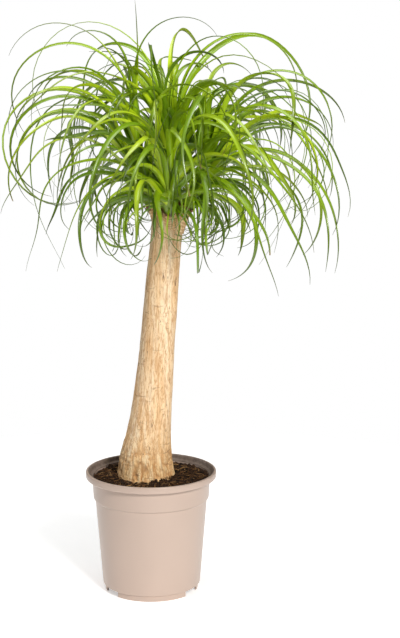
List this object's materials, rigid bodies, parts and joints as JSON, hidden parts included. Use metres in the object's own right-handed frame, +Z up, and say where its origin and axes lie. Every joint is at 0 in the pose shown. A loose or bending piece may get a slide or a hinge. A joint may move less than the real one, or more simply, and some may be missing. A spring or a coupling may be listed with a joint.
{
  "type": "potted ponytail palm",
  "caption": "Potted ponytail palm: a leaning trunk with a flared foot, a crown of long arching strap leaves, peaty soil and a tapered nursery pot with a rolled lip.",
  "frame": {"origin": "centre of the pot's underside, on the flat face of its centre foot", "axes": "+Z up, -Y towards the front of the plant, +X to the side that the trunk leans to"},
  "size_m": [0.6113, 0.5989, 1.0748],
  "materials": {
    "pot_plastic": "taupe pink moulded plastic, satin",
    "potting_soil": "dark brown peat with bark fibres, matte",
    "bark": "pale tan bark, finely grooved, corky at the foot",
    "leaf": "bright green strap leaf, slightly waxy"
  },
  "bodies": {
    "root": {"pot": "pot_plastic", "soil": "potting_soil", "trunk": "bark", "head_centre": "leaf", "head_left": "leaf", "head_right": "leaf", "head_front": "leaf", "head_rear": "leaf"}
  },
  "joints": []
}
